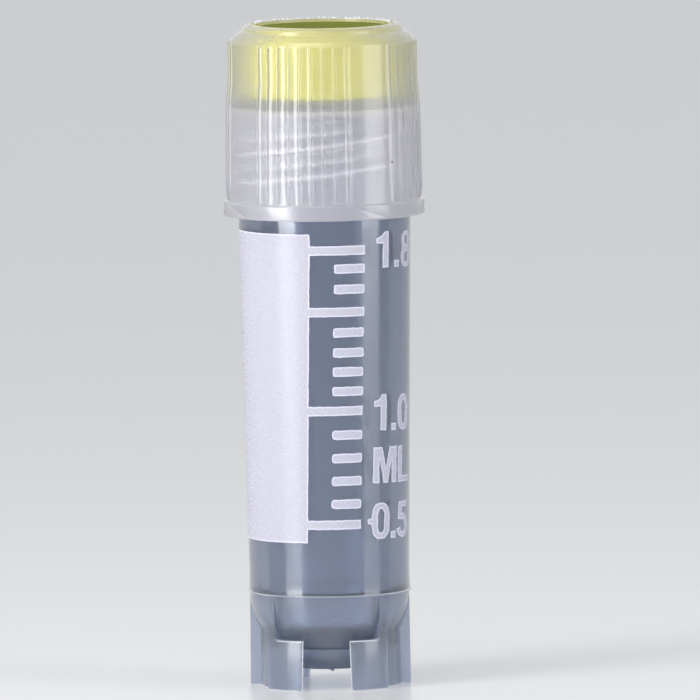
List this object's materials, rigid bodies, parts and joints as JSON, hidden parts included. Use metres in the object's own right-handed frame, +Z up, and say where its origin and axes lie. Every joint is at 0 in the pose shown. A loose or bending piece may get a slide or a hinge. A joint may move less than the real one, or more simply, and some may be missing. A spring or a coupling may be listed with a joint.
{
  "type": "cryovial",
  "caption": "Self-standing cryogenic vial with a round-bottomed tube, star foot, screw cap with grip ribs, colour-code insert and gasket.",
  "frame": {"origin": "on the table, under the middle of the foot, on the tube's axis", "axes": "+Z up along the tube, from foot to cap; the foot's slots face -Y (front, the side with the printed scale) and +Y (back)"},
  "size_m": [0.0146, 0.0146, 0.0483],
  "materials": {
    "tube_plastic": "translucent cool grey, smooth",
    "cap_plastic": "translucent natural, faintly hazy",
    "insert_plastic": "satin yellow",
    "gasket_silicone": "matte translucent silicone",
    "print_ink": "matte white print"
  },
  "bodies": {
    "vial": {"vial_body": "tube_plastic"},
    "seal": {"seal_ring": "gasket_silicone"},
    "cap": {"cap_shell": "cap_plastic", "colour_insert": "insert_plastic"}
  },
  "joints": [
    {"name": "cap_lift", "type": "slide", "parent": "vial", "child": "seal", "axis": [0, 0, 1], "range_m": [0, 0.0084]},
    {"name": "cap_turn", "type": "hinge", "parent": "seal", "child": "cap", "pos_m": [0, 0, 0.0423], "axis": [0, 0, 1], "range_deg": [0, 720]}
  ],
  "couplings": [
    {"joint": "cap_turn", "follows": "cap_lift", "rad_per_m": 1496}
  ]
}
